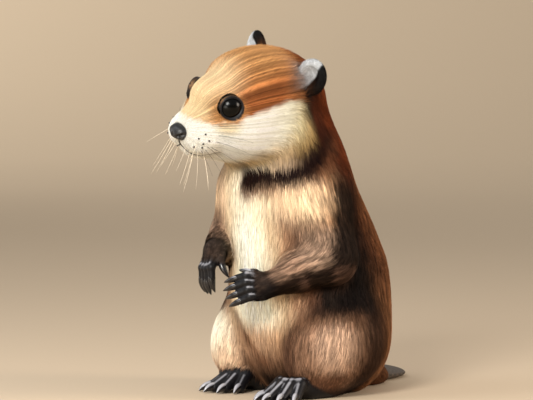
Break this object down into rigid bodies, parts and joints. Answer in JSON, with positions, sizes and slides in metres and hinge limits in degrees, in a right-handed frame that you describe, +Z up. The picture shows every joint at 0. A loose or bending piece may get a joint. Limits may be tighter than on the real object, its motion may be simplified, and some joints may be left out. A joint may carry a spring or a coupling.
{
  "type": "young beaver",
  "caption": "Young beaver sitting upright on its haunches, forepaws held before its belly, head turned and tilted, flat scaly tail curled behind; a still life-size model",
  "frame": {"origin": "on the floor, under the rump, in the middle of the flat the animal sits on", "axes": "+Z up; the body faces -Y; the animal's left side is +X; the tail lies behind, towards +Y, and curls to -X"},
  "size_m": [0.2299, 0.3548, 0.3586],
  "materials": {
    "coat_dark": "dark brown fur",
    "coat_tan": "golden tan fur",
    "black_skin": "bare black skin, slightly glossy",
    "claw_horn": "dark horn, glossy",
    "tail_skin": "dark grey-brown scaly skin",
    "eye_gloss": "wet black"
  },
  "bodies": {
    "root": {"head": "coat_tan", "neck": "coat_dark", "trunk": "coat_dark", "upper_arm_left": "coat_tan", "forearm_left": "coat_dark", "hand_left": "black_skin", "thigh_left": "coat_tan", "foot_left": "black_skin", "ear_left": "black_skin", "eye_left": "eye_gloss", "upper_arm_right": "coat_tan", "forearm_right": "coat_dark", "hand_right": "black_skin", "thigh_right": "coat_tan", "foot_right": "black_skin", "ear_right": "black_skin", "eye_right": "eye_gloss", "tail_root": "coat_dark", "tail_paddle": "tail_skin", "nose_pad": "black_skin", "claw_hand_left_1": "claw_horn", "claw_foot_left_1": "claw_horn", "claw_hand_left_2": "claw_horn", "claw_foot_left_2": "claw_horn", "claw_hand_left_3": "claw_horn", "claw_foot_left_3": "claw_horn", "claw_hand_left_4": "claw_horn", "claw_foot_left_4": "claw_horn", "claw_hand_left_5": "claw_horn", "claw_foot_left_5": "claw_horn", "claw_hand_right_1": "claw_horn", "claw_foot_right_1": "claw_horn", "claw_hand_right_2": "claw_horn", "claw_foot_right_2": "claw_horn", "claw_hand_right_3": "claw_horn", "claw_foot_right_3": "claw_horn", "claw_hand_right_4": "claw_horn", "claw_foot_right_4": "claw_horn", "claw_hand_right_5": "claw_horn", "claw_foot_right_5": "claw_horn"}
  },
  "joints": []
}
